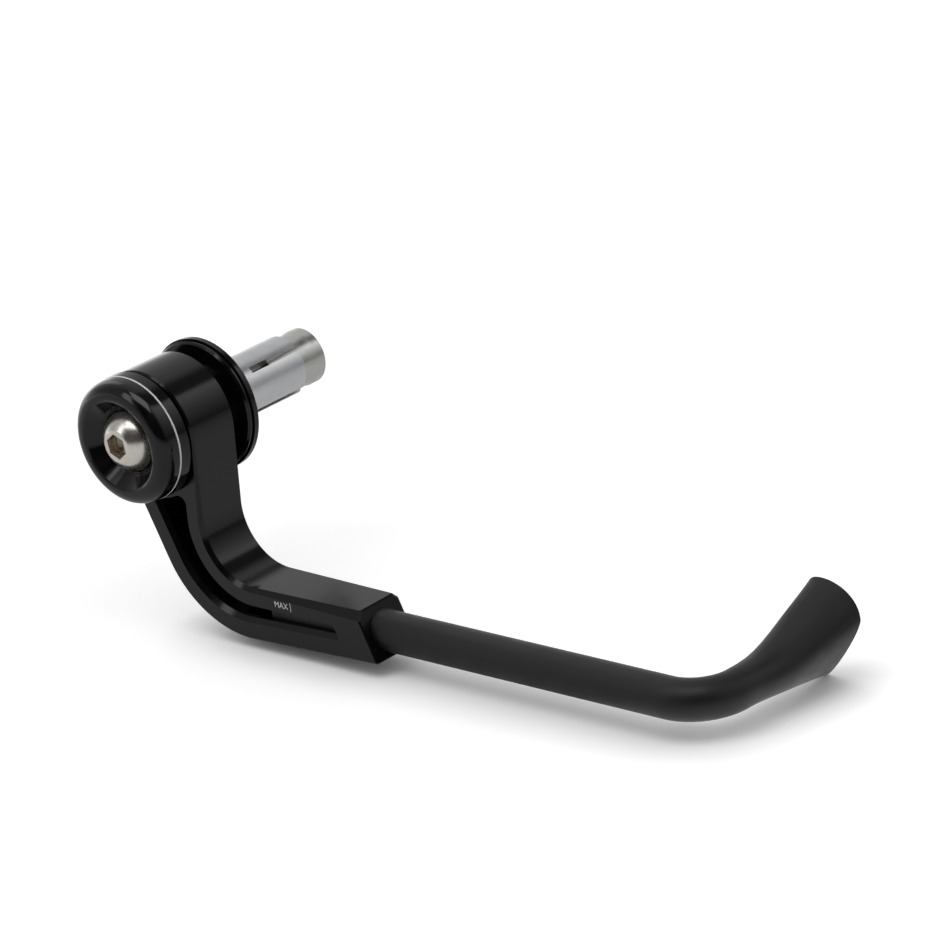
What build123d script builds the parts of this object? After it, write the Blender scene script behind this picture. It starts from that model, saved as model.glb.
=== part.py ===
# Lever guard for the end of a handlebar: a bar end weight, a milled arm and a moulded guard rod.
# Millimetres and degrees. The bar's axis is Y, with +Y running into the handlebar. The rod points
# along +X and Z is up. The origin is on the bar's axis, where the collar meets the handlebar's end.
# Heights in the bar end's stack are counted outboard from the handlebar, along -Y.
import math
import os

from build123d import *

os.makedirs("parts", exist_ok=True)

# Collar between the handlebar and the arm
collar_diameter = 30.2
collar_land_diameter = 29.4
collar_width = 3.0
collar_land_width = 0.9
collar_groove_width = 0.4
collar_groove_depth = 0.4
collar_edge = 0.45
hub_diameter = 21.0
hub_length = 3.6
spigot_diameter = 12.0
spigot_setback = 1.0

# Clearances
turn_clearance = 0.05
rod_clearance = 0.05
thread_clearance = 0.05
set_screw_tip_clearance = 0.1

# How far a cutting wedge reaches past the faces that it cuts
cut_margin = 1.0

# Arm: eye, leg and socket, milled from one plate
plate_thickness = 13.0
eye_diameter = 28.0
leg_outer_offset = 10.95
leg_outer_lean = 23.1
leg_inner_lean = 4.0
inner_bend_radius = 12.6
outer_bend_radius = 24.0
socket_reach = 55.6
socket_drop = 37.9
socket_top_height = 5.9
socket_end_depth = 5.1
socket_taper = 1.9
end_slant = 21.8
front_chamfer = 0.9
edge_chamfer = 0.4
end_chamfer = 0.3
top_chamfer_growth = 0.9

# Pocket in the arm's outer face, which runs down into the window slot over the rod
pocket_wall = 4.0
pocket_depth = 6.0
pocket_bevel = 1.0
pocket_eye_gap = 1.0
pocket_corner = 2.0
slot_corner = 0.8
slot_end_wall = 8.2

# Guard rod
rod_diameter = 8.9
rod_seat_x = 27.7
rod_travel_in = 7.0
bore_end_gap = 0.7
rod_reach = 144.0
bend_radius = 10.0
rod_flat_depth = 1.0
rod_flat_margin = 1.0
rod_end_chamfer = 0.6
tip_length = 27.9
tip_neck = 0.22
tip_ease = 0.16
tip_lift = 5.6
tip_crest = 10.15
tip_back = 3.2
tip_rise = 7.6
tip_top_shift = 1.0
tip_foot = 8.7
tip_back_fullness = 0.85
tip_brow_fullness = 0.7
tip_top_fullness = 0.45
tip_crest_fullness = 0.2
tip_foot_fullness = 0.14
tip_edge = 0.4

# Set screws that hold the rod
set_screw_diameter = 4.0
set_screw_hex = 2.0
set_screw_hex_depth = 1.5
set_screw_spacing = 8.0
set_screw_inset = 7.0

# Bar end weight, its washer and its screw
washer_diameter = 24.0
washer_thickness = 0.8
weight_back_diameter = 28.6
weight_taper = 0.9
weight_length = 7.85
weight_edge = 0.4
rim_radius = 3.3
rim_inner_edge = 0.3
rim_flat = 0.1
dish_depth = 3.4
well_diameter = 14.1
well_depth = 1.0
screw_diameter = 6.0
screw_hole_diameter = 6.6
screw_length = 55.0
screw_head_diameter = 10.5
screw_head_height = 4.85
screw_head_band = 1.35
screw_flat_diameter = 6.9
hex_across_flats = 5.0
hex_depth = 2.8
hex_lead = 0.5
hex_turn = 38.0
screw_point = 0.8

# Expander inside the handlebar
sleeve_diameter = 13.7
sleeve_length = 24.0
sleeve_edge = 0.4
sleeve_slots = 4
sleeve_slot_width = 1.5
sleeve_slot_length = 15.0
sleeve_slot_turn = 45.0
sleeve_recess_depth = 0.6
sleeve_recess_gap = 1.0
cone_angle = 10.0
cone_mouth_diameter = 11.4
cone_seat_depth = 8.0
cone_length = 14.0
cone_diameter = 12.8
cone_gap = 0.05
cone_tip_gap = 0.5

# Stack along the bar's axis, outboard from the handlebar
eye_back = collar_width + hub_length + turn_clearance
eye_front = eye_back + plate_thickness
washer_back = eye_front + turn_clearance
weight_back = washer_back + washer_thickness
weight_front = weight_back + weight_length
screw_seat = weight_front - dish_depth - well_depth

# The rod's axis and the ends of its straight run
rod_y = -(eye_back + plate_thickness / 2)
rod_z = -socket_drop
bend_start_x = rod_reach - bend_radius
bend_end_y = rod_y + bend_radius
bore_radius = rod_diameter / 2 + rod_clearance
bore_bottom_x = rod_seat_x - rod_travel_in - bore_end_gap
set_screw_x = socket_reach - set_screw_inset
flat_y = rod_y + rod_diameter / 2 - rod_flat_depth
flat_end_x = set_screw_x + set_screw_diameter / 2 + rod_travel_in + rod_flat_margin


def lean(angle, run):
    """Sideways shift of a line that leans from the vertical by an angle, over a run of height."""
    return run * math.tan(math.radians(angle))


# Corners of the arm's side outline, in X and Z
socket_top = rod_z + socket_top_height
end_bottom_z = rod_z - socket_end_depth
end_bottom_x = socket_reach + lean(end_slant, socket_top - end_bottom_z)
inner_tangent = (
    eye_diameter / 2 * math.cos(math.radians(leg_inner_lean)),
    -eye_diameter / 2 * math.sin(math.radians(leg_inner_lean)),
)
inner_corner = (inner_tangent[0] - lean(leg_inner_lean, inner_tangent[1] - socket_top), socket_top)
outer_foot = (
    -leg_outer_offset * math.cos(math.radians(leg_outer_lean)),
    -leg_outer_offset * math.sin(math.radians(leg_outer_lean)),
)
taper_slope = math.tan(math.radians(socket_taper))
outer_slope = math.tan(math.radians(leg_outer_lean))
outer_corner_x = (
    outer_foot[0] + outer_slope * (outer_foot[1] - end_bottom_z + taper_slope * end_bottom_x)
) / (1 + outer_slope * taper_slope)
outer_corner = (outer_corner_x, end_bottom_z - taper_slope * (end_bottom_x - outer_corner_x))

with BuildSketch() as side_outline:
    with BuildLine():
        Polyline(
            (0, 0),
            inner_tangent,
            inner_corner,
            (socket_reach, socket_top),
            (end_bottom_x, end_bottom_z),
            outer_corner,
            outer_foot,
            close=True,
        )
    make_face()
    fillet(side_outline.vertices().sort_by_distance(outer_corner)[0], radius=outer_bend_radius)
    fillet(side_outline.vertices().sort_by_distance(inner_corner)[0], radius=inner_bend_radius)
    Circle(eye_diameter / 2)

# The pocket follows the outline at one wall's distance, clear of the eye and of the slanted end
slot_end_shift = slot_end_wall / math.cos(math.radians(end_slant))
with BuildSketch() as pocket_outline:
    offset(side_outline.sketch, amount=-pocket_wall)
    Circle(eye_diameter / 2 + pocket_eye_gap, mode=Mode.SUBTRACT)
    with BuildLine():
        Polyline(
            (socket_reach - slot_end_shift, socket_top),
            (socket_reach + plate_thickness, socket_top),
            (end_bottom_x + plate_thickness, end_bottom_z),
            (end_bottom_x - slot_end_shift, end_bottom_z),
            close=True,
        )
    make_face(mode=Mode.SUBTRACT)
    fillet(pocket_outline.vertices().sort_by(Axis.X)[-2:].sort_by(Axis.Y)[-1], radius=slot_corner)
    fillet(pocket_outline.vertices().sort_by(Axis.Y)[-2:].sort_by(Axis.X)[-1], radius=pocket_corner)

# The pocket's outer wall stands further in than its mouth, by the bevel that runs along it
with BuildSketch() as outer_bound:
    with BuildLine():
        Polyline(
            outer_foot,
            outer_corner,
            (end_bottom_x, end_bottom_z),
            (end_bottom_x, eye_diameter),
            (outer_foot[0], eye_diameter),
            close=True,
        )
    make_face()
    fillet(outer_bound.vertices().sort_by_distance(outer_corner)[0], radius=outer_bend_radius)
with BuildSketch() as pocket_floor:
    add(pocket_outline.sketch)
    offset(outer_bound.sketch, amount=-pocket_wall - pocket_bevel, mode=Mode.INTERSECT)
slot_end = pocket_floor.vertices().sort_by(Axis.X)[-1]


def edge_cut(size):
    """Corners of a wedge that takes an edge off, on a plane whose axes point out of its two faces."""
    return (
        (cut_margin, cut_margin),
        (-size - cut_margin, cut_margin),
        (cut_margin, -size - cut_margin),
    )


# The inner edge's run: down the leg, round the inner bend and along the socket's top
inner_turn = 90 + leg_inner_lean
bend_run = inner_bend_radius * math.tan(math.radians(inner_turn / 2))
lean_sine = math.sin(math.radians(leg_inner_lean))
lean_cosine = math.cos(math.radians(leg_inner_lean))
leg_end = (inner_corner[0] + bend_run * lean_sine, socket_top + bend_run * lean_cosine)
socket_start_x = inner_corner[0] + bend_run
leg_across = (lean_cosine, 0, -lean_sine)
leg_down = (-lean_sine, 0, -lean_cosine)
leg_planes = [
    Plane(origin=(x, -eye_front, z), x_dir=leg_across, z_dir=leg_down)
    for x, z in (inner_tangent, leg_end)
]

# Arm: the outline as a plate. Its inner edge's chamfer widens from the eye down to the socket's end.
with BuildPart() as arm:
    with BuildSketch(Plane.XZ.offset(eye_back)):
        add(side_outline.sketch)
    extrude(amount=plate_thickness)
    for side in (0, -1):
        for end in (0, -1):
            chamfer(arm.faces().sort_by(Axis.Y)[side].edges().sort_by(Axis.Z)[end], length=edge_chamfer)
    for plane, size in zip(leg_planes, (edge_chamfer, front_chamfer)):
        with BuildSketch(plane):
            Polygon(*edge_cut(size), align=None)
    loft(ruled=True, mode=Mode.SUBTRACT)
    with BuildSketch(Plane((socket_start_x, -eye_front, socket_top), x_dir=(0, 0, 1), z_dir=(1, 0, 0))):
        Polygon(*edge_cut(front_chamfer), align=None)
    revolve(
        axis=Axis((socket_start_x, 0, socket_top + inner_bend_radius), (0, 1, 0)),
        revolution_arc=inner_turn,
        mode=Mode.SUBTRACT,
    )
    for face_y, along, size in ((-eye_front, 1, front_chamfer), (-eye_back, -1, edge_chamfer)):
        for x, growth in ((socket_start_x, 0), (end_bottom_x, top_chamfer_growth)):
            with BuildSketch(Plane((x, face_y, socket_top), x_dir=(0, 0, 1), z_dir=(along, 0, 0))):
                Polygon(*edge_cut(size + growth), align=None)
        loft(ruled=True, mode=Mode.SUBTRACT)
    chamfer(arm.faces().sort_by(Axis.X)[-1].edges(), length=end_chamfer)
    with BuildSketch(Plane.XZ.offset(eye_front)):
        add(pocket_floor.sketch)
    extrude(amount=-pocket_depth, mode=Mode.SUBTRACT)
    slot_edge = arm.edges().sort_by_distance((slot_end.X - pocket_wall, -eye_front, slot_end.Y))[0]
    chamfer(slot_edge, length=pocket_bevel)
    with BuildSketch(Plane.YZ.offset(bore_bottom_x)):
        with Locations((rod_y, rod_z)):
            Circle(bore_radius)
    extrude(amount=end_bottom_x - bore_bottom_x, mode=Mode.SUBTRACT)
    with BuildSketch(Plane.XZ.offset(eye_back)):
        Circle(spigot_diameter / 2 + turn_clearance)
    extrude(amount=plate_thickness, mode=Mode.SUBTRACT)
    with BuildSketch(Plane.XZ.offset(eye_back)):
        with Locations((set_screw_x, rod_z), (set_screw_x - set_screw_spacing, rod_z)):
            Circle(set_screw_diameter / 2)
    extrude(amount=plate_thickness / 2, mode=Mode.SUBTRACT)
arm.part.label = "arm"
export_step(arm.part, "parts/arm.step")

# Guard rod: straight run, bend and crowned tip. The tip flares from the rod's circle to its end: its
# lower side from the bend on, and its upper side from the neck on.
tip_fractions = (0, 0.2, 0.4, 0.6, 0.8, 1)
circle_fullness = 2 - math.sqrt(2)
handle_weight = (1 + math.sqrt(2)) / 3
quarter_weights = (1, handle_weight, handle_weight, 1)
rod_radius = rod_diameter / 2


def flare(fraction, start):
    """Share of the flare reached at a fraction of the tip, straight once it has eased in."""
    run = max(0, (fraction - start) / (1 - start))
    return (math.hypot(run, tip_ease) - tip_ease) / (math.hypot(1, tip_ease) - tip_ease)


def between(first, last, share):
    """Value that lies a share of the way from the first value to the last."""
    return first + (last - first) * share


def tip_quarters(fraction, inset):
    """Control points, in X and Z, of the four curves round the tip at a fraction of its length."""
    upper = flare(fraction, tip_neck)
    lower = flare(fraction, 0)
    middle_z = rod_z + between(0, tip_lift, upper)
    top_z = middle_z + between(rod_radius, tip_rise, upper) - inset
    foot_z = rod_z - between(rod_radius, tip_foot, lower) + inset
    crest_x = rod_reach + between(rod_radius, tip_crest, lower) - inset
    back_x = rod_reach - between(rod_radius, tip_back, upper) + inset
    back_full = between(circle_fullness, tip_back_fullness, upper)
    top_x = rod_reach + between(0, tip_top_shift, upper)
    brow_full = between(circle_fullness, tip_brow_fullness, upper)
    top_full = between(circle_fullness, tip_top_fullness, upper)
    crest_full = between(circle_fullness, tip_crest_fullness, lower)
    foot_full = between(circle_fullness, tip_foot_fullness, lower)
    quarters = (
        (crest_x, top_x, top_z, brow_full, top_full),
        (back_x, top_x, top_z, back_full, back_full),
        (back_x, rod_reach, foot_z, circle_fullness, circle_fullness),
        (crest_x, rod_reach, foot_z, crest_full, foot_full),
    )
    return [
        (
            (side_x, middle_z),
            (side_x, between(middle_z, end_z, side_full)),
            (between(end_x, side_x, end_full), end_z),
            (end_x, end_z),
        )
        for side_x, end_x, end_z, side_full, end_full in quarters
    ]


with BuildPart() as guard_rod:
    with BuildSketch(Plane.YZ.offset(rod_seat_x)):
        with Locations((rod_y, rod_z)):
            Circle(rod_radius)
    extrude(amount=bend_start_x - rod_seat_x)
    chamfer(guard_rod.faces().sort_by(Axis.X)[0].edges(), length=rod_end_chamfer)
    with BuildSketch(Plane.YZ.offset(bend_start_x)):
        with Locations((rod_y, rod_z)):
            Circle(rod_radius)
    revolve(axis=Axis((bend_start_x, bend_end_y, 0), (0, 0, 1)), revolution_arc=90)
    for fraction in tip_fractions:
        with BuildSketch(Plane.XZ.offset(-bend_end_y - fraction * tip_length)):
            with BuildLine():
                for points in tip_quarters(fraction, 0):
                    Bezier(*points, weights=quarter_weights)
            make_face()
    loft()
    for inset in (0, tip_edge):
        with BuildSketch(Plane.XZ.offset(-bend_end_y - tip_length - inset)):
            with BuildLine():
                for points in tip_quarters(1, inset):
                    Bezier(*points, weights=quarter_weights)
            make_face()
    loft(ruled=True)
    with BuildSketch(Plane.XZ.offset(-flat_y)):
        with Locations((rod_seat_x, rod_z)):
            Rectangle(2 * (flat_end_x - rod_seat_x), rod_diameter)
    extrude(amount=-rod_flat_depth, mode=Mode.SUBTRACT)
guard_rod.part.label = "guard_rod"
export_step(guard_rod.part, "parts/guard_rod.step")

# Set screws, flush with the arm's inner face and seated on the rod's flat
set_screw_length = -eye_back - flat_y - set_screw_tip_clearance
with BuildPart() as rod_set_screws:
    with BuildSketch(Plane.XZ.offset(eye_back)):
        with Locations((set_screw_x, rod_z), (set_screw_x - set_screw_spacing, rod_z)):
            Circle(set_screw_diameter / 2 - thread_clearance)
    extrude(amount=set_screw_length)
    with BuildSketch(Plane.XZ.offset(eye_back)):
        with Locations((set_screw_x, rod_z), (set_screw_x - set_screw_spacing, rod_z)):
            RegularPolygon(set_screw_hex / 2, 6, major_radius=False)
    extrude(amount=set_screw_hex_depth, mode=Mode.SUBTRACT)
rod_set_screws.part.label = "rod_set_screws"
export_step(rod_set_screws.part, "parts/rod_set_screws.step")

# Bar collar: grooved rim against the handlebar, with a shallow recess round the foot of the expander,
# a hub that stands the arm off and a spigot for its eye
hole_radius = screw_hole_diameter / 2
recess_radius = sleeve_diameter / 2 + sleeve_recess_gap
groove_end = collar_width - collar_land_width
groove_start = groove_end - collar_groove_width
spigot_end = eye_front - spigot_setback
with BuildPart() as bar_collar:
    with BuildSketch(Plane.XY):
        with BuildLine():
            Polyline(
                (hole_radius, -sleeve_recess_depth),
                (recess_radius, -sleeve_recess_depth),
                (recess_radius, 0),
                (collar_diameter / 2 - collar_edge, 0),
                (collar_diameter / 2, -collar_edge),
                (collar_diameter / 2, -groove_start),
                (collar_land_diameter / 2 - collar_groove_depth, -groove_start),
                (collar_land_diameter / 2 - collar_groove_depth, -groove_end),
                (collar_land_diameter / 2, -groove_end),
                (collar_land_diameter / 2, collar_edge - collar_width),
                (collar_land_diameter / 2 - collar_edge, -collar_width),
                (hub_diameter / 2, -collar_width),
                (hub_diameter / 2, -collar_width - hub_length),
                (spigot_diameter / 2, -collar_width - hub_length),
                (spigot_diameter / 2, -spigot_end),
                (hole_radius, -spigot_end),
                close=True,
            )
        make_face()
    revolve(axis=Axis.Y)
bar_collar.part.label = "bar_collar"
export_step(bar_collar.part, "parts/bar_collar.step")

with BuildPart() as spacer_washer:
    with BuildSketch(Plane.XZ.offset(washer_back)):
        Circle(washer_diameter / 2)
        Circle(hole_radius, mode=Mode.SUBTRACT)
    extrude(amount=washer_thickness)
spacer_washer.part.label = "spacer_washer"
export_step(spacer_washer.part, "parts/spacer_washer.step")

# Bar end weight: tapered barrel with a full rim round a conical dish, and a well for the screw's head
weight_front_radius = (weight_back_diameter - weight_taper) / 2
rim_corner = (weight_front_radius, -weight_front)
dish_corner = (weight_front_radius - rim_radius - rim_flat - rim_inner_edge, -weight_front)
with BuildPart() as bar_end_weight:
    with BuildSketch(Plane.XY) as weight_profile:
        with BuildLine():
            Polyline(
                (hole_radius, -weight_back),
                (weight_back_diameter / 2 - weight_edge, -weight_back),
                (weight_back_diameter / 2, -weight_back - weight_edge),
                rim_corner,
                dish_corner,
                (well_diameter / 2, dish_depth - weight_front),
                (well_diameter / 2, -screw_seat),
                (hole_radius, -screw_seat),
                close=True,
            )
        make_face()
        fillet(weight_profile.vertices().sort_by_distance(rim_corner)[0], radius=rim_radius)
        chamfer(weight_profile.vertices().sort_by_distance(dish_corner)[0], length=rim_inner_edge)
    revolve(axis=Axis.Y)
bar_end_weight.part.label = "bar_end_weight"
export_step(bar_end_weight.part, "parts/bar_end_weight.step")

# Bar end screw: domed head with a hexagon socket, long shank through the whole bar end
head_radius = screw_head_diameter / 2
head_top = screw_seat + screw_head_height
screw_end = screw_seat - screw_length
with BuildPart() as bar_end_screw:
    with BuildSketch(Plane.XY):
        with BuildLine():
            dome = TangentArc(
                (head_radius, -screw_seat - screw_head_band),
                (screw_flat_diameter / 2, -head_top),
                tangent=(0, -1),
            )
            Polyline(
                dome @ 1,
                (0, -head_top),
                (0, -screw_end),
                (screw_diameter / 2 - screw_point, -screw_end),
                (screw_diameter / 2, -screw_end - screw_point),
                (screw_diameter / 2, -screw_seat),
                (head_radius, -screw_seat),
                dome @ 0,
            )
        make_face()
    revolve(axis=Axis.Y)
    with BuildSketch(Plane.XZ.offset(head_top)):
        RegularPolygon(hex_across_flats / 2, 6, major_radius=False, rotation=hex_turn)
    extrude(amount=-hex_depth, mode=Mode.SUBTRACT)
    with BuildSketch(Plane.XZ.offset(head_top)):
        Circle(hex_across_flats / 2 + hex_lead)
    extrude(amount=-hex_lead, taper=45, mode=Mode.SUBTRACT)
bar_end_screw.part.label = "bar_end_screw"
export_step(bar_end_screw.part, "parts/bar_end_screw.step")

# Expander sleeve: split from its inner end, where the cone nut is drawn in
cone_slope = math.tan(math.radians(cone_angle))
cone_small_radius = cone_mouth_diameter / 2 - cone_seat_depth * cone_slope
cone_start = sleeve_length - cone_seat_depth
with BuildPart() as expander_sleeve:
    with BuildSketch(Plane.XY):
        with BuildLine():
            Polyline(
                (hole_radius, -sleeve_recess_depth),
                (sleeve_diameter / 2 - sleeve_edge, -sleeve_recess_depth),
                (sleeve_diameter / 2, sleeve_edge - sleeve_recess_depth),
                (sleeve_diameter / 2, sleeve_length - sleeve_edge),
                (sleeve_diameter / 2 - sleeve_edge, sleeve_length),
                (cone_mouth_diameter / 2, sleeve_length),
                (cone_small_radius, cone_start),
                (hole_radius, cone_start),
                close=True,
            )
        make_face()
    revolve(axis=Axis.Y)
    with BuildSketch(Plane.XZ.offset(-sleeve_length)):
        with PolarLocations(sleeve_diameter / 2, sleeve_slots, start_angle=sleeve_slot_turn):
            Rectangle(sleeve_diameter, sleeve_slot_width)
    extrude(amount=sleeve_slot_length, mode=Mode.SUBTRACT)
expander_sleeve.part.label = "expander_sleeve"
export_step(expander_sleeve.part, "parts/expander_sleeve.step")

# Expander cone: a nut whose taper matches the sleeve's
thread_radius = screw_diameter / 2 + thread_clearance
cone_tip = cone_start + cone_tip_gap
cone_tip_radius = cone_small_radius + cone_tip_gap * cone_slope - cone_gap
cone_full = cone_tip + (cone_diameter / 2 - cone_tip_radius) / cone_slope
with BuildPart() as expander_cone:
    with BuildSketch(Plane.XY):
        with BuildLine():
            Polyline(
                (thread_radius, cone_tip),
                (cone_tip_radius, cone_tip),
                (cone_diameter / 2, cone_full),
                (cone_diameter / 2, cone_tip + cone_length),
                (thread_radius, cone_tip + cone_length),
                close=True,
            )
        make_face()
    revolve(axis=Axis.Y)
expander_cone.part.label = "expander_cone"
export_step(expander_cone.part, "parts/expander_cone.step")
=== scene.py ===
"""Dresses a handlebar end lever guard and sets it on a white studio floor.

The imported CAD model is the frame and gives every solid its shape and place. This script gives the
solids their finishes, models the bar end's screw and the printed marks, and sets the floor, the
lamps and the camera. The object's sizes are in millimetres and are turned to metres where Blender
takes them.
"""
from __future__ import annotations

import logging
import math
from dataclasses import dataclass, field
from enum import Enum
from typing import Any

import bpy
from mathutils import Matrix, Vector

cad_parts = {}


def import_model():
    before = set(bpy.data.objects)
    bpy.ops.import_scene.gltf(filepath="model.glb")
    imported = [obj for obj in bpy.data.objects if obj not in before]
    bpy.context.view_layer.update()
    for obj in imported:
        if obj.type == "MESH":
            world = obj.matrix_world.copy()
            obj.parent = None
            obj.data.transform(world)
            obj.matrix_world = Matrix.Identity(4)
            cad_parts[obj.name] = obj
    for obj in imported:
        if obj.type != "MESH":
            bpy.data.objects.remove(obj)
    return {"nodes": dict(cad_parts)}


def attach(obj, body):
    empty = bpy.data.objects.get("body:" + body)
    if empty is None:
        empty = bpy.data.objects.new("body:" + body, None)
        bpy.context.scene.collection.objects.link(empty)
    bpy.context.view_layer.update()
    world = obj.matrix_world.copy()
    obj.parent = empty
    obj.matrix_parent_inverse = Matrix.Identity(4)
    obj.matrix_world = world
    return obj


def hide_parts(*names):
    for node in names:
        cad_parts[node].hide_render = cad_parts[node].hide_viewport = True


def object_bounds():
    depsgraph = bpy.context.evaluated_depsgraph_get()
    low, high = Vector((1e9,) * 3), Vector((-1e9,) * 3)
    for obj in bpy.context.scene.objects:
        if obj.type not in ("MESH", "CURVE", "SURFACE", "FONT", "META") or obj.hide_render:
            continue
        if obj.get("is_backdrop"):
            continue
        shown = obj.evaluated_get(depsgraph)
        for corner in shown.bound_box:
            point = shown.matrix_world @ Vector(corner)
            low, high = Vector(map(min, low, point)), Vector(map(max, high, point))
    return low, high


LOG = logging.getLogger("lever_guard")
WAVE_TURN = 20.0  # Blender's Wave texture advances its sine by 20 times its scale per unit
PATCH_LOW, PATCH_HIGH = 0.3, 0.7  # part of a noise's range over which the gloss changes
WELD_GAP = 0.0005  # corners that lie closer than this, in millimetres, become one
SHARP_ANGLE = math.radians(30)  # faces that meet at more than this show an edge
UPRIGHT = (math.pi / 2, 0, 0)  # turns a flat primitive to face along the bar's axis
ACROSS = (1.0, 0.0, 1.0)  # keeps the part of a place that lies across the bar's axis


class Body(str, Enum):
    """Bodies of the CAD frame that the new pieces ride on."""

    BAR_END = "bar_end"
    ARM = "arm"


class Lathe(Enum):
    """Which way a lathe's tool marks run on a turned piece."""

    FACED = "RINGS"
    BARREL = "BANDS"


def mm(value: float) -> float:
    """Millimetres as metres."""
    return value * 0.001


def linear(hex_colour: str) -> tuple[float, float, float, float]:
    """Turn an sRGB hex colour to linear light.

    Args:
        hex_colour: Six hex digits with a leading hash.

    Returns:
        Red, green, blue and an alpha of one.
    """
    parts = [int(hex_colour[i : i + 2], 16) / 255 for i in (1, 3, 5)]
    light = [c / 12.92 if c <= 0.04045 else ((c + 0.055) / 1.055) ** 2.4 for c in parts]
    return (light[0], light[1], light[2], 1.0)


def grain(size: float) -> float:
    """Scale of a Noise texture whose grains measure a size in millimetres."""
    return 1.0 / mm(size)


def pitch(size: float) -> float:
    """Scale of a Wave texture whose lines lie a size in millimetres apart."""
    return 2 * math.pi / (WAVE_TURN * mm(size))


def add_node(
    tree: bpy.types.NodeTree,
    kind: str,
    values: dict[str | int, Any] | None = None,
    **settings: Any,
) -> bpy.types.Node:
    """Add one node, set it up and wire its inputs.

    Args:
        tree: Node tree that takes the node.
        kind: Blender's name of the node's type.
        values: Input name or number, to a plain value or to the output that feeds it.
        **settings: Properties of the node itself.

    Returns:
        The new node.
    """
    node = tree.nodes.new(kind)
    for name, value in settings.items():
        setattr(node, name, value)
    for name, value in (values or {}).items():
        if isinstance(value, bpy.types.NodeSocket):
            tree.links.new(value, node.inputs[name])
        else:
            node.inputs[name].default_value = value
    return node


def span(
    value: bpy.types.NodeSocket, low: float, high: float, start: float, end: float
) -> dict[str | int, Any]:
    """Inputs of a Map Range node.

    Args:
        value: Output that feeds the node.
        low: Value that is mapped to start.
        high: Value that is mapped to end.
        start: Result at low and below it.
        end: Result at high and above it.

    Returns:
        The node's inputs by name.
    """
    return {"Value": value, "From Min": low, "From Max": high, "To Min": start, "To Max": end}


@dataclass(frozen=True)
class Finish:
    """A real material with its surface treatment, made as a procedural shader."""

    name: str
    colour: str
    shade: str
    roughness: float
    mottle: float
    metallic: float = 0.0
    specular: float = 0.5
    roughness_spread: float = 0.05
    grain_size: float = 0.25
    grain_depth: float = 0.004
    patch_detail: float = 3.0
    patch_roughness: float = 0.55
    grain_detail: float = 2.0

    def material(self) -> bpy.types.Material:
        """Build the material.

        Returns:
            The material, with its surface linked.
        """
        made = bpy.data.materials.new(self.name)
        made.use_nodes = True
        tree = made.node_tree
        tree.nodes.clear()
        place = add_node(tree, "ShaderNodeTexCoord").outputs["Object"]
        patches = add_node(
            tree,
            "ShaderNodeTexNoise",
            {
                "Vector": place,
                "Scale": grain(self.mottle),
                "Detail": self.patch_detail,
                "Roughness": self.patch_roughness,
            },
        )
        dull = self.roughness + self.roughness_spread
        keen = self.roughness - self.roughness_spread
        rough = add_node(
            tree,
            "ShaderNodeMapRange",
            span(patches.outputs["Fac"], PATCH_LOW, PATCH_HIGH, keen, dull),
        )
        shader = add_node(
            tree,
            "ShaderNodeBsdfPrincipled",
            {
                "Base Color": self.colours(tree, place, patches.outputs["Fac"]),
                "Roughness": rough.outputs["Result"],
                "Metallic": self.metallic,
                "Specular IOR Level": self.specular,
                "Normal": self.relief(tree, place),
            },
        )
        add_node(tree, "ShaderNodeOutputMaterial", {"Surface": shader.outputs["BSDF"]})
        return made

    def colours(
        self,
        tree: bpy.types.NodeTree,
        place: bpy.types.NodeSocket,
        patches: bpy.types.NodeSocket,
    ) -> bpy.types.NodeSocket:
        """Mix the finish's two tones in soft patches.

        Args:
            tree: The material's node tree.
            place: Object coordinates.
            patches: Noise that spreads the tones.

        Returns:
            The colour to use.
        """
        mix = add_node(
            tree,
            "ShaderNodeMix",
            {0: patches, 6: linear(self.colour), 7: linear(self.shade)},
            data_type="RGBA",
        )
        return mix.outputs[2]

    def relief(
        self, tree: bpy.types.NodeTree, place: bpy.types.NodeSocket
    ) -> bpy.types.NodeSocket:
        """Raise the finish's fine grain.

        Args:
            tree: The material's node tree.
            place: Object coordinates.

        Returns:
            The surface normal to use.
        """
        noise = add_node(
            tree,
            "ShaderNodeTexNoise",
            {"Vector": place, "Scale": grain(self.grain_size), "Detail": self.grain_detail},
        )
        bump = add_node(
            tree,
            "ShaderNodeBump",
            {"Strength": 1.0, "Distance": mm(self.grain_depth), "Height": noise.outputs["Fac"]},
        )
        return bump.outputs["Normal"]


@dataclass(frozen=True)
class TurnedFinish(Finish):
    """A finish on a piece that a lathe has turned about the bar's axis."""

    lathe: Lathe = Lathe.FACED
    line_pitch: float = 0.3
    line_depth: float = 0.002
    line_wander: float = 0.6
    line_detail: float = 1.0

    def relief(
        self, tree: bpy.types.NodeTree, place: bpy.types.NodeSocket
    ) -> bpy.types.NodeSocket:
        """Cut the lathe's tool marks over the grain.

        Args:
            tree: The material's node tree.
            place: Object coordinates.

        Returns:
            The surface normal to use.
        """
        lines = add_node(
            tree,
            "ShaderNodeTexWave",
            {
                "Vector": place,
                "Scale": pitch(self.line_pitch),
                "Distortion": self.line_wander,
                "Detail": self.line_detail,
            },
            wave_type=self.lathe.value,
            bands_direction="Y",
            rings_direction="Y",
        )
        bump = add_node(
            tree,
            "ShaderNodeBump",
            {
                "Strength": 1.0,
                "Distance": mm(self.line_depth),
                "Height": lines.outputs["Fac"],
                "Normal": super().relief(tree, place),
            },
        )
        return bump.outputs["Normal"]


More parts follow.
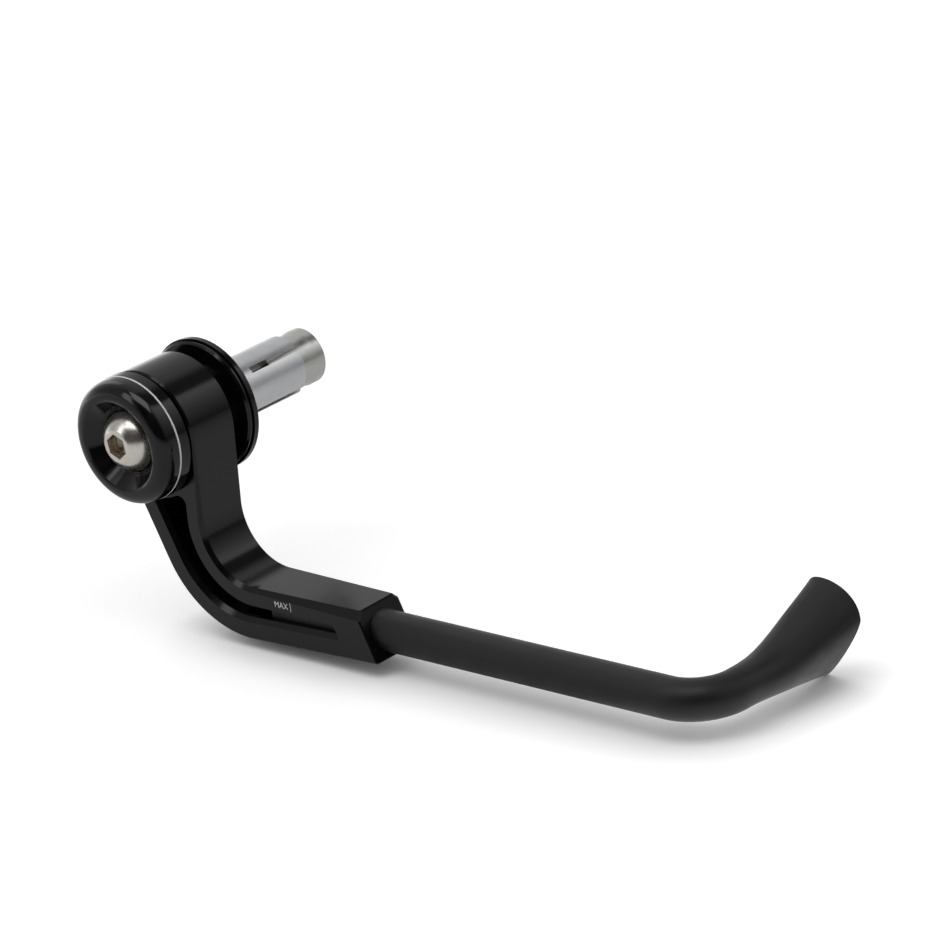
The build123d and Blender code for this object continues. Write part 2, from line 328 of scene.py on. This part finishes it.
@dataclass(frozen=True)
class SocketHeadFinish(TurnedFinish):
    """A turned screw, with painted shade making its broached hexagon socket duller and browner than
    its dome.
    """

    # Colour of the painted shade on the socket's walls and floor
    socket_shade_colour: str = "#bdb4a8"
    socket_radius: float = 3.05
    socket_mouth: float = -28.75

    def colours(
        self,
        tree: bpy.types.NodeTree,
        place: bpy.types.NodeSocket,
        patches: bpy.types.NodeSocket,
    ) -> bpy.types.NodeSocket:
        """Paint shade on the socket's walls and floor, a duller and browner colour in the recess.

        Args:
            tree: The material's node tree.
            place: Object coordinates.
            patches: Noise that spreads the tones.

        Returns:
            The colour to use.
        """
        across = add_node(
            tree, "ShaderNodeVectorMath", {0: place, 1: ACROSS}, operation="MULTIPLY"
        )
        radius = add_node(
            tree, "ShaderNodeVectorMath", {0: across.outputs["Vector"]}, operation="LENGTH"
        )
        narrow = add_node(
            tree,
            "ShaderNodeMath",
            {0: radius.outputs["Value"], 1: mm(self.socket_radius)},
            operation="LESS_THAN",
        )
        split = add_node(tree, "ShaderNodeSeparateXYZ", {"Vector": place})
        sunk = add_node(
            tree,
            "ShaderNodeMath",
            {0: split.outputs["Y"], 1: mm(self.socket_mouth)},
            operation="GREATER_THAN",
        )
        both = add_node(
            tree,
            "ShaderNodeMath",
            {0: narrow.outputs["Value"], 1: sunk.outputs["Value"]},
            operation="MULTIPLY",
        )
        # Painted shade: inside the socket the steel's colour gives way to the socket's shade colour
        mix = add_node(
            tree,
            "ShaderNodeMix",
            {
                0: both.outputs["Value"],
                6: super().colours(tree, place, patches),
                7: linear(self.socket_shade_colour),
            },
            data_type="RGBA",
        )
        return mix.outputs[2]


# Aluminium, milled, polished and black anodised: a deep even black with a clean gloss that mirrors
# the studio in slightly soft bands. The film's 0.05 mm grain is drawn at 0.2 mm so that it shows.
MILLED_ANODISED = Finish(
    name="aluminium_milled_black_anodised",
    colour="#080809",
    shade="#0b0b0c",
    roughness=0.15,
    mottle=4.0,
    specular=0.33,
    roughness_spread=0.02,
    grain_size=0.2,
    grain_depth=0.0004,
)

# Aluminium, turned and bright anodised: a wetter black than the arm's, with sharper highlights
# round the rim. The tool's 0.1 mm feed is drawn at 0.25 mm so that it shows.
TURNED_ANODISED = TurnedFinish(
    name="aluminium_turned_black_anodised",
    colour="#070708",
    shade="#0a0a0b",
    roughness=0.13,
    mottle=5.0,
    specular=0.36,
    roughness_spread=0.02,
    grain_size=0.3,
    grain_depth=0.0004,
    line_pitch=0.25,
    line_depth=0.0002,
)

# Nylon, glass filled and injection moulded in a spark eroded mould: charcoal black, matte, with a
# fine leathery grain of about 0.3 mm.
MOULDED_NYLON = Finish(
    name="nylon_moulded_glass_filled",
    colour="#111112",
    shade="#161617",
    roughness=0.5,
    mottle=6.0,
    specular=0.35,
    grain_size=0.3,
    grain_depth=0.006,
)

# Stainless steel, cold headed and passivated: a bright warm grey with soft reflections. The steel's
# 0.05 mm grain and the 0.1 mm lines of its turned die are drawn at 0.25 and 0.35 mm, faintly.
STAINLESS_STEEL = SocketHeadFinish(
    name="stainless_steel_cold_headed",
    colour="#dedad2",
    shade="#d0cbc2",
    roughness=0.27,
    mottle=1.5,
    metallic=1.0,
    roughness_spread=0.02,
    grain_size=0.25,
    grain_depth=0.0001,
    line_pitch=0.35,
    line_depth=0.0001,
)

# Acetal sheet, punched: dull black with almost no sheen. The sheet's 0.1 mm grain is drawn at 0.25
# mm so that it shows.
PUNCHED_ACETAL = Finish(
    name="acetal_punched_black",
    colour="#0d0d0d",
    shade="#121212",
    roughness=0.5,
    mottle=3.0,
    specular=0.35,
)

# Aluminium, turned and left bare: pale silver with a fine screw-like lay from the tool's feed. The
# 0.15 mm feed is drawn at 0.35 mm so that it shows.
TURNED_ALUMINIUM = TurnedFinish(
    name="aluminium_turned_bare",
    colour="#d2d3d5",
    shade="#c3c4c7",
    roughness=0.34,
    mottle=3.0,
    metallic=1.0,
    lathe=Lathe.BARREL,
    line_pitch=0.35,
    line_depth=0.003,
)

# Steel, turned and zinc plated: a cooler and greyer silver than the sleeve, with cloudy patches.
# The tool's 0.2 mm feed is drawn at 0.4 mm so that it shows.
ZINC_PLATED_STEEL = TurnedFinish(
    name="steel_turned_zinc_plated",
    colour="#b4b8bd",
    shade="#c8c6b8",
    roughness=0.3,
    mottle=2.0,
    metallic=1.0,
    lathe=Lathe.BARREL,
    line_pitch=0.4,
    line_depth=0.002,
)

# Steel, black oxide: a soft blue-black that lets a little of the metal's shine through. The steel's
# 0.05 mm grain is drawn at 0.25 mm so that it shows.
BLACK_OXIDE_STEEL = Finish(
    name="steel_black_oxide",
    colour="#17181b",
    shade="#202126",
    roughness=0.36,
    mottle=1.0,
    metallic=0.6,
)

# Enamel ink, pad printed: flat off-white, a little thin in patches of 0.6 mm.
PRINTED_ENAMEL = Finish(
    name="enamel_pad_printed_white",
    colour="#e2e2df",
    shade="#c9c9c6",
    roughness=0.5,
    mottle=0.6,
)


def start_clean() -> None:
    """Leave edit mode and deselect every object."""
    if bpy.context.object and bpy.context.object.mode != "OBJECT":
        bpy.ops.object.mode_set(mode="OBJECT")
    bpy.ops.object.select_all(action="DESELECT")


def settle(piece: bpy.types.Object, name: str) -> None:
    """Put a piece's place into its mesh, merge its doubles and turn its faces outwards.

    Args:
        piece: The active mesh object.
        name: Name for the object and its mesh.
    """
    bpy.ops.object.transform_apply(location=True, rotation=True, scale=True)
    bpy.ops.object.mode_set(mode="EDIT")
    bpy.ops.mesh.select_all(action="SELECT")
    bpy.ops.mesh.remove_doubles(threshold=mm(WELD_GAP))
    bpy.ops.mesh.normals_make_consistent(inside=False)
    bpy.ops.object.mode_set(mode="OBJECT")
    bpy.ops.object.shade_smooth_by_angle(angle=SHARP_ANGLE)
    piece.name = name
    piece.data.name = name


def paint(target: bpy.types.Object, material: bpy.types.Material) -> None:
    """Give an object one material in every slot.

    Args:
        target: A CAD node or a new piece.
        material: The finish.
    """
    if not target.material_slots:
        target.data.materials.append(material)
    for place in target.material_slots:
        place.material = material


@dataclass
class ButtonScrew:
    """The bar end's screw, whose wide button head fills the well, with a crisp hexagon socket."""

    shank_end: float = 31.05
    shank_radius: float = 3.0
    shank_point: float = 0.8
    seat: float = -23.95
    head_radius: float = 7.0
    head_edge: float = 0.45
    head_top: float = -28.8
    flat_radius: float = 3.45
    dome_steps: int = 14
    segments: int = 96
    hex_across_flats: float = 5.0
    hex_depth: float = 2.8
    hex_turn: float = 38.0
    hex_sides: int = 6
    soft_edge: float = 0.07
    soft_steps: int = 2

    def profile(self) -> list[tuple[float, float]]:
        """Outline of the turned screw from its point to its flat.

        Returns:
            Radius and place along the bar's axis of each corner.
        """
        rise = self.seat - self.head_edge - self.head_top
        reach = (self.head_radius**2 - self.flat_radius**2 + rise**2) / (2 * rise)
        ball = math.hypot(self.flat_radius, reach)
        centre = self.head_top + reach
        start = math.asin(self.head_radius / ball)
        if reach < rise:
            start = math.pi - start
        end = math.asin(self.flat_radius / ball)
        points = [
            (self.shank_radius - self.shank_point, self.shank_end),
            (self.shank_radius, self.shank_end - self.shank_point),
            (self.shank_radius, self.seat),
            (self.head_radius, self.seat),
        ]
        for step in range(self.dome_steps + 1):
            angle = start + (end - start) * step / self.dome_steps
            points.append((ball * math.sin(angle), centre - ball * math.cos(angle)))
        return points

    def build(self) -> bpy.types.Object:
        """Draw the head and shank ring by ring and cut the socket.

        Returns:
            The screw.
        """
        (radius, y), *rest = self.profile()
        start_clean()
        bpy.ops.mesh.primitive_circle_add(
            vertices=self.segments,
            radius=mm(radius),
            fill_type="NGON",
            location=(0, mm(y), 0),
            rotation=UPRIGHT,
        )
        screw = bpy.context.object
        bpy.ops.object.transform_apply(location=True, rotation=True, scale=True)
        bpy.ops.object.mode_set(mode="EDIT")
        bpy.ops.mesh.select_all(action="SELECT")
        for next_radius, next_y in rest:
            bpy.ops.mesh.extrude_region_move(
                TRANSFORM_OT_translate={"value": (0, mm(next_y - y), 0)}
            )
            grow = next_radius / radius
            bpy.ops.transform.resize(value=(grow, 1, grow), center_override=(0, mm(next_y), 0))
            radius, y = next_radius, next_y
        bpy.ops.object.mode_set(mode="OBJECT")
        settle(screw, "button_head_screw")
        self.cut_socket(screw)
        return screw

    def cut_socket(self, screw: bpy.types.Object) -> None:
        """Cut the hexagon socket and soften every edge a little.

        Args:
            screw: The turned screw.
        """
        start_clean()
        bpy.ops.mesh.primitive_cylinder_add(
            vertices=self.hex_sides,
            radius=mm(self.hex_across_flats / math.sqrt(3)),
            depth=mm(2 * self.hex_depth),
            rotation=UPRIGHT,
        )
        punch = bpy.context.object
        bpy.ops.object.transform_apply(location=False, rotation=True, scale=False)
        punch.location = (0, mm(self.head_top), 0)
        punch.rotation_euler = (0, math.radians(90 - self.hex_turn), 0)
        bpy.ops.object.transform_apply(location=True, rotation=True, scale=True)
        bpy.context.view_layer.objects.active = screw
        cut = screw.modifiers.new("socket", "BOOLEAN")
        cut.object = punch
        cut.operation = "DIFFERENCE"
        cut.solver = "EXACT"
        bpy.ops.object.modifier_apply(modifier=cut.name)
        soft = screw.modifiers.new("edges", "BEVEL")
        soft.width = mm(self.soft_edge)
        soft.segments = self.soft_steps
        soft.limit_method = "ANGLE"
        soft.angle_limit = SHARP_ANGLE
        bpy.ops.object.modifier_apply(modifier=soft.name)
        bpy.data.objects.remove(punch)
        start_clean()
        screw.select_set(True)
        bpy.context.view_layer.objects.active = screw
        settle(screw, screw.name)


@dataclass
class BarEnd:
    """Everything that is fixed in the end of the handlebar, with its screw and its printed line."""

    barrel_back_radius: float = 14.3
    barrel_back: float = -20.9
    barrel_front_radius: float = 13.85
    barrel_front: float = -28.35
    line_centre: float = -23.65
    line_width: float = 0.45
    line_rise: float = 0.02
    line_root: float = 0.12
    line_segments: int = 240
    finishes: dict[str, Finish] = field(
        default_factory=lambda: {
            "bar_collar": TURNED_ANODISED,
            "bar_end_weight": TURNED_ANODISED,
            "bar_end_screw": STAINLESS_STEEL,
            "spacer_washer": PUNCHED_ACETAL,
            "expander_sleeve": TURNED_ALUMINIUM,
            "expander_cone": ZINC_PLATED_STEEL,
        }
    )

    def barrel_radius(self, y: float) -> float:
        """Find the radius of the weight's tapered barrel.

        Args:
            y: Place along the bar's axis.

        Returns:
            The radius there.
        """
        share = (y - self.barrel_back) / (self.barrel_front - self.barrel_back)
        taper = self.barrel_front_radius - self.barrel_back_radius
        return self.barrel_back_radius + share * taper

    def build_line(self) -> bpy.types.Object:
        """Model the printed line that runs round the weight.

        Returns:
            The line, a thin tapered hoop that is rooted in the barrel.
        """
        back = self.line_centre + self.line_width / 2
        front = self.line_centre - self.line_width / 2
        back_radius = self.barrel_radius(back) + self.line_rise
        front_radius = self.barrel_radius(front) + self.line_rise
        start_clean()
        bpy.ops.mesh.primitive_circle_add(
            vertices=self.line_segments,
            radius=mm(back_radius),
            location=(0, mm(back), 0),
            rotation=UPRIGHT,
        )
        line = bpy.context.object
        bpy.ops.object.transform_apply(location=True, rotation=True, scale=True)
        bpy.ops.object.mode_set(mode="EDIT")
        bpy.ops.mesh.select_all(action="SELECT")
        bpy.ops.mesh.extrude_region_move(
            TRANSFORM_OT_translate={"value": (0, mm(front - back), 0)}
        )
        shrink = front_radius / back_radius
        bpy.ops.transform.resize(value=(shrink, 1, shrink), center_override=(0, mm(front), 0))
        bpy.ops.object.mode_set(mode="OBJECT")
        settle(line, "weight_line")
        wall = line.modifiers.new("print", "SOLIDIFY")
        wall.thickness = mm(self.line_root + self.line_rise)
        wall.offset = -1
        bpy.ops.object.modifier_apply(modifier=wall.name)
        return line

    def dress(self, nodes: dict[str, bpy.types.Object]) -> None:
        """Finish the CAD solids and add the screw and the line.

        Args:
            nodes: The CAD nodes by name.
        """
        made: dict[str, bpy.types.Material] = {}
        for node, finish in self.finishes.items():
            if finish.name not in made:
                made[finish.name] = finish.material()
            paint(nodes[node], made[finish.name])
            LOG.info("%s: %s", node, finish.name)
        screw = ButtonScrew().build()
        paint(screw, made[STAINLESS_STEEL.name])
        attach(screw, Body.BAR_END.value)
        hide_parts("bar_end_screw")
        LOG.info("%s: %s", screw.name, STAINLESS_STEEL.name)
        line = self.build_line()
        paint(line, PRINTED_ENAMEL.material())
        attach(line, Body.BAR_END.value)
        LOG.info("%s: %s", line.name, PRINTED_ENAMEL.name)


@dataclass
class GuardArm:
    """The milled arm with its set screws and the limit mark beside its slot."""

    face: float = -19.65
    print_rise: float = 0.02
    print_root: float = 0.05
    mark_x: float = 36.35
    mark_top: float = -33.25
    mark_bottom: float = -35.25
    mark_width: float = 0.17
    mark_corner_share: float = 1 / 3
    mark_corner_steps: int = 4
    word: str = "MAX"
    word_left: float = 31.75
    word_right: float = 35.6
    word_base: float = -34.9
    word_height: float = 1.35
    finishes: dict[str, Finish] = field(
        default_factory=lambda: {"arm": MILLED_ANODISED, "rod_set_screws": BLACK_OXIDE_STEEL}
    )

    def build_mark(self) -> bpy.types.Object:
        """Model the limit mark, a short upright stroke with rounded corners.

        Returns:
            The mark.
        """
        start_clean()
        bpy.ops.mesh.primitive_plane_add(
            size=1,
            location=(
                mm(self.mark_x),
                mm(self.face + self.print_root),
                mm((self.mark_top + self.mark_bottom) / 2),
            ),
            rotation=UPRIGHT,
        )
        mark = bpy.context.object
        mark.scale = (mm(self.mark_width), mm(self.mark_top - self.mark_bottom), 1)
        bpy.ops.object.transform_apply(location=True, rotation=True, scale=True)
        bpy.ops.object.mode_set(mode="EDIT")
        bpy.ops.mesh.select_all(action="SELECT")
        bpy.ops.mesh.bevel(
            offset=mm(self.mark_width * self.mark_corner_share),
            segments=self.mark_corner_steps,
            affect="VERTICES",
        )
        bpy.ops.mesh.select_all(action="SELECT")
        bpy.ops.mesh.extrude_region_move(
            TRANSFORM_OT_translate={"value": (0, -mm(self.print_root + self.print_rise), 0)}
        )
        bpy.ops.object.mode_set(mode="OBJECT")
        settle(mark, "limit_mark")
        return mark

    def build_word(self) -> bpy.types.Object:
        """Model the limit mark's word.

        Returns:
            The word as a thin mesh on the arm's outer face.
        """
        start_clean()
        bpy.ops.object.text_add()
        word = bpy.context.object
        word.data.body = self.word
        word.data.size = mm(1)
        word.data.extrude = mm(self.print_root + self.print_rise) / 2
        bpy.ops.object.convert(target="MESH")
        word = bpy.context.object
        outline = [vertex.co for vertex in word.data.vertices]
        low = Vector(min(point[i] for point in outline) for i in range(3))
        high = Vector(max(point[i] for point in outline) for i in range(3))
        wide = mm(self.word_right - self.word_left) / (high.x - low.x)
        tall = mm(self.word_height) / (high.y - low.y)
        middle = self.face + (self.print_root - self.print_rise) / 2
        word.rotation_euler = UPRIGHT
        word.scale = (wide, tall, 1)
        word.location = (
            mm(self.word_left) - low.x * wide,
            mm(middle),
            mm(self.word_base) - low.y * tall,
        )
        settle(word, "limit_word")
        return word

    def dress(self, nodes: dict[str, bpy.types.Object]) -> None:
        """Finish the CAD solids and add the printed marks.

        Args:
            nodes: The CAD nodes by name.
        """
        for node, finish in self.finishes.items():
            paint(nodes[node], finish.material())
            LOG.info("%s: %s", node, finish.name)
        ink = PRINTED_ENAMEL.material()
        for piece in (self.build_mark(), self.build_word()):
            paint(piece, ink)
            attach(piece, Body.ARM.value)
            LOG.info("%s: %s", piece.name, PRINTED_ENAMEL.name)


@dataclass
class GuardRod:
    """The moulded rod that slides in the arm's socket."""

    def dress(self, nodes: dict[str, bpy.types.Object]) -> None:
        """Finish the CAD solid.

        Args:
            nodes: The CAD nodes by name.
        """
        paint(nodes["guard_rod"], MOULDED_NYLON.material())
        LOG.info("guard_rod: %s", MOULDED_NYLON.name)


@dataclass(frozen=True)
class Lamp:
    """A softbox that faces a point of the object."""

    name: str
    place: tuple[float, float, float]
    aim: tuple[float, float, float]
    width: float
    height: float
    power: float

    def build(self) -> None:
        """Add the lamp, in metres and watts."""
        light = bpy.data.lights.new(self.name, "AREA")
        light.shape = "RECTANGLE"
        light.size = self.width
        light.size_y = self.height
        light.energy = self.power
        lamp = bpy.data.objects.new(self.name, light)
        ray = Vector(self.aim) - Vector(self.place)
        lamp.location = self.place
        lamp.rotation_euler = ray.to_track_quat("-Z", "Y").to_euler()
        lamp.visible_camera = False
        bpy.context.scene.collection.objects.link(lamp)


@dataclass
class Studio:
    """White floor, softboxes and a surround with a pale wall on the left and a panel on the right.

    Lengths are in metres. Levels are radiances, at which a white surface that is lit all round
    renders as one, and the surround's places are parts of a direction whose length is one.
    """

    # Floor, and the lift that the eye sees on it, which grows with the distance from the bar's axis
    floor_radius: float = 4.0
    floor_segments: int = 128
    floor_colour: str = "#e6e6e6"
    lift_near: float = 0.44
    lift_far: float = 0.7
    lift_start: float = 0.1
    lift_end: float = 0.3
    # Painted shade on the floor where anything stands close over it: ambient occlusion cuts the
    # eye's lift there
    contact_reach: float = 0.0135
    contact_power: float = 1.4
    contact_rays: int = 6
    # Glow that only mirroring surfaces see, to the back left and under the rod's tip
    far_way: tuple[float, float, float] = (-1.0, 1.0, 0.0)
    far_start: float = 0.1
    far_end: float = 0.6
    far_glow: float = 1.1
    tip_place: tuple[float, float, float] = (0.15, 0.0, 0.0)
    tip_inner: float = 0.015
    tip_outer: float = 0.045
    tip_glow: float = 0.8
    # Wall, brighter near the horizon, up to its edge in X
    wall_level: float = 0.85
    horizon_glow: float = 1.9
    horizon_height: float = 0.25
    wall_edge: float = -0.12
    # Panel, from its edge in X, by the slope of a direction over it
    panel_start: float = 0.08
    panel_low: float = 0.15
    panel_high: float = 1.7
    panel_slope: float = 1.24
    panel_edge: float = 1.6
    panel_fade: float = 0.3
    above_panel: float = 0.15
    least_aside: float = 0.05
    # Dim front, from its start in Y, and from left to right in X
    front_start: float = -0.35
    front_left: float = -0.5
    front_left_level: float = 0.6
    front_right_level: float = 0.05
    lamps: tuple[Lamp, ...] = (
        Lamp(
            name="key",
            place=(0.14, -0.28, 0.69),
            aim=(0.04, 0.0, 0.0),
            width=0.55,
            height=0.4,
            power=2.07,
        ),
        Lamp(
            name="front_strip",
            place=(-0.23, -0.55, 0.43),
            aim=(0.0, -0.02, 0.0),
            width=0.18,
            height=0.43,
            power=0.53,
        ),
        Lamp(
            name="left_strip",
            place=(-0.72, 0.235, 0.35),
            aim=(0.0, 0.0, 0.0),
            width=0.3,
            height=0.9,
            power=0.76,
        ),
    )

    def build_floor(self, height: float) -> None:
        """Lay the floor under the object.

        Args:
            height: The object's lowest point, in metres.
        """
        start_clean()
        bpy.ops.mesh.primitive_circle_add(
            vertices=self.floor_segments,
            radius=self.floor_radius,
            fill_type="NGON",
            location=(0, 0, height),
        )
        floor = bpy.context.object
        floor.name = "floor"
        paper = bpy.data.materials.new("paper_white_matte")
        paper.use_nodes = True
        tree = paper.node_tree
        tree.nodes.clear()
        matte = add_node(tree, "ShaderNodeBsdfDiffuse", {"Color": linear(self.floor_colour)})
        glow = add_node(tree, "ShaderNodeEmission", {"Strength": self.floor_glow(tree)})
        both = add_node(
            tree, "ShaderNodeAddShader", {0: matte.outputs["BSDF"], 1: glow.outputs["Emission"]}
        )
        add_node(tree, "ShaderNodeOutputMaterial", {"Surface": both.outputs["Shader"]})
        floor.data.materials.append(paper)
        floor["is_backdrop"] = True

    def floor_glow(self, tree: bpy.types.NodeTree) -> bpy.types.NodeSocket:
        """Brighten the floor for the eye and in mirrors, with no light from it on matt surfaces.

        Args:
            tree: The floor's node tree.

        Returns:
            The strength of the floor's own light.
        """
        place = add_node(tree, "ShaderNodeTexCoord").outputs["Object"]
        path = add_node(tree, "ShaderNodeLightPath").outputs
        straight = add_node(
            tree,
            "ShaderNodeMath",
            {0: path["Is Camera Ray"], 1: path["Is Transmission Ray"]},
            operation="MAXIMUM",
        )
        seen = add_node(
            tree,
            "ShaderNodeMath",
            {0: straight.outputs["Value"], 1: self.eye_lift(tree, place)},
            operation="MULTIPLY",
        )
        strength = add_node(
            tree,
            "ShaderNodeMath",
            {
                0: path["Is Glossy Ray"],
                1: self.mirror_glow(tree, place),
                2: seen.outputs["Value"],
            },
            operation="MULTIPLY_ADD",
        )
        return strength.outputs["Value"]

    def eye_lift(
        self, tree: bpy.types.NodeTree, place: bpy.types.NodeSocket
    ) -> bpy.types.NodeSocket:
        """Lift the floor to white, with painted shade where something stands close over it.

        Args:
            tree: The floor's node tree.
            place: Object coordinates.

        Returns:
            The lift.
        """
        away = add_node(tree, "ShaderNodeVectorMath", {0: place}, operation="LENGTH")
        # Painted shade: ambient occlusion lowers the lift under and beside the object
        clear = add_node(
            tree,
            "ShaderNodeAmbientOcclusion",
            {"Distance": self.contact_reach},
            samples=self.contact_rays,
        )
        painted_contact_shade = add_node(
            tree,
            "ShaderNodeMath",
            {0: clear.outputs["AO"], 1: self.contact_power},
            operation="POWER",
        )
        full = span(
            away.outputs["Value"], self.lift_start, self.lift_end, self.lift_near, self.lift_far
        )
        lift = add_node(
            tree,
            "ShaderNodeMath",
            {
                0: painted_contact_shade.outputs["Value"],
                1: add_node(tree, "ShaderNodeMapRange", full).outputs["Result"],
            },
            operation="MULTIPLY",
        )
        return lift.outputs["Value"]

    def mirror_glow(
        self, tree: bpy.types.NodeTree, place: bpy.types.NodeSocket
    ) -> bpy.types.NodeSocket:
        """Brighten the floor in mirrors, far to the back left and round the rod's tip.

        Args:
            tree: The floor's node tree.
            place: Object coordinates.

        Returns:
            The glow.
        """
        back = add_node(
            tree, "ShaderNodeVectorMath", {0: place, 1: self.far_way}, operation="DOT_PRODUCT"
        )
        far = span(back.outputs["Value"], self.far_start, self.far_end, 0.0, self.far_glow)
        gap = add_node(
            tree, "ShaderNodeVectorMath", {0: place, 1: self.tip_place}, operation="DISTANCE"
        )
        tip = span(gap.outputs["Value"], self.tip_inner, self.tip_outer, self.tip_glow, 0.0)
        glow = add_node(
            tree,
            "ShaderNodeMath",
            {
                0: add_node(tree, "ShaderNodeMapRange", far).outputs["Result"],
                1: add_node(tree, "ShaderNodeMapRange", tip).outputs["Result"],
            },
            operation="MAXIMUM",
        )
        return glow.outputs["Value"]

    def build_surround(self) -> None:
        """Light the world with a wall on the left, a panel on the right and a dim front."""
        world = bpy.data.worlds.new("surround")
        world.use_nodes = True
        tree = world.node_tree
        tree.nodes.clear()
        place = add_node(tree, "ShaderNodeTexCoord").outputs["Generated"]
        way = add_node(tree, "ShaderNodeSeparateXYZ", {"Vector": place}).outputs
        wall = span(way["Z"], 0.0, self.horizon_height, self.horizon_glow, self.wall_level)
        side = span(way["X"], self.wall_edge, self.panel_start, 0.0, 1.0)
        back = add_node(
            tree,
            "ShaderNodeMix",
            {
                0: add_node(tree, "ShaderNodeMapRange", side).outputs["Result"],
                2: add_node(tree, "ShaderNodeMapRange", wall).outputs["Result"],
                3: self.panel_level(tree, way["X"], way["Z"]),
            },
            data_type="FLOAT",
        )
        level = add_node(
            tree,
            "ShaderNodeMath",
            {0: back.outputs[0], 1: self.front_share(tree, way["X"], way["Y"])},
            operation="MULTIPLY",
        )
        sky = add_node(tree, "ShaderNodeBackground", {"Strength": level.outputs["Value"]})
        add_node(tree, "ShaderNodeOutputWorld", {"Surface": sky.outputs["Background"]})
        bpy.context.scene.world = world

    def panel_level(
        self, tree: bpy.types.NodeTree, aside: bpy.types.NodeSocket, up: bpy.types.NodeSocket
    ) -> bpy.types.NodeSocket:
        """Brighten the panel upwards and end it at its upper edge.

        Args:
            tree: The world's node tree.
            aside: Part of the direction in X.
            up: Part of the direction in Z.

        Returns:
            The panel's level.
        """
        reach = add_node(
            tree, "ShaderNodeMath", {0: aside, 1: self.least_aside}, operation="MAXIMUM"
        )
        slope = add_node(
            tree, "ShaderNodeMath", {0: up, 1: reach.outputs["Value"]}, operation="DIVIDE"
        ).outputs["Value"]
        rise = span(slope, 0.0, self.panel_slope, self.panel_low, self.panel_high)
        edge = span(
            slope,
            self.panel_edge,
            self.panel_edge + self.panel_fade,
            1.0,
            self.above_panel / self.panel_high,
        )
        panel = add_node(
            tree,
            "ShaderNodeMath",
            {
                0: add_node(tree, "ShaderNodeMapRange", rise).outputs["Result"],
                1: add_node(tree, "ShaderNodeMapRange", edge).outputs["Result"],
            },
            operation="MULTIPLY",
        )
        return panel.outputs["Value"]

    def front_share(
        self, tree: bpy.types.NodeTree, aside: bpy.types.NodeSocket, along: bpy.types.NodeSocket
    ) -> bpy.types.NodeSocket:
        """Dim the surround in front of the object, more so on the right.

        Args:
            tree: The world's node tree.
            aside: Part of the direction in X.
            along: Part of the direction in Y.

        Returns:
            The share of the level that is left.
        """
        dim = span(aside, self.front_left, 0.0, self.front_left_level, self.front_right_level)
        behind = span(along, self.front_start, 0.0, 0.0, 1.0)
        share = add_node(
            tree,
            "ShaderNodeMix",
            {
                0: add_node(tree, "ShaderNodeMapRange", behind).outputs["Result"],
                2: add_node(tree, "ShaderNodeMapRange", dim).outputs["Result"],
                3: 1.0,
            },
            data_type="FLOAT",
        )
        return share.outputs[0]

    def build(self, height: float) -> None:
        """Set up the floor, the surround and the lamps.

        Args:
            height: The object's lowest point, in metres.
        """
        self.build_floor(height)
        self.build_surround()
        for lamp in self.lamps:
            lamp.build()
        bpy.context.scene.view_settings.view_transform = "Standard"


@dataclass(frozen=True)
class PhotoCamera:
    """Camera at the photograph's viewing angle, with the lens in pixels of the photograph."""

    frame: float = 950.0
    focal: float = 4500.0
    distance: float = 978.84
    azimuth: float = 43.63
    elevation: float = 21.25
    roll: float = -7.38
    origin_x: float = 209.54
    origin_y: float = 401.55
    sensor: float = 36.0
    nearest: float = 10.0

    def build(self) -> None:
        """Add the camera and make it the scene's."""
        turn, tilt, bank = (math.radians(a) for a in (self.azimuth, self.elevation, self.roll))
        back = Vector(
            (math.sin(turn) * math.cos(tilt), -math.cos(turn) * math.cos(tilt), math.sin(tilt))
        )
        level = Vector((math.cos(turn), math.sin(turn), 0))
        upright = back.cross(level)
        right = math.cos(bank) * level + math.sin(bank) * upright
        up = math.cos(bank) * upright - math.sin(bank) * level
        step = self.distance / self.focal
        aside = (self.origin_x - self.frame / 2) * step
        below = (self.origin_y - self.frame / 2) * step
        place = (self.distance * back - aside * right + below * up) * mm(1)
        lens = bpy.data.cameras.new("photo_camera")
        lens.sensor_width = self.sensor
        lens.lens = self.sensor * self.focal / self.frame
        lens.clip_start = mm(self.nearest)
        camera = bpy.data.objects.new("photo_camera", lens)
        axes = Matrix((right, up, back)).transposed().to_4x4()
        camera.matrix_world = Matrix.Translation(place) @ axes
        bpy.context.scene.collection.objects.link(camera)
        bpy.context.scene.camera = camera


def corners() -> list[list[float]]:
    """Lowest and highest corner of the shown object, as plain lists."""
    return [list(map(float, corner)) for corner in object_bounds()]


def main() -> None:
    """Load the frame, dress every sub-assembly and set the studio."""
    logging.basicConfig(level=logging.INFO, format="%(name)s: %(message)s")
    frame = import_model()
    cad_box = corners()
    PhotoCamera().build()
    for assembly in (BarEnd(), GuardArm(), GuardRod()):
        assembly.dress(frame["nodes"])
        LOG.info("%s dressed", type(assembly).__name__)
    Studio().build(cad_box[0][2])


if __name__ == "__main__":
    main()
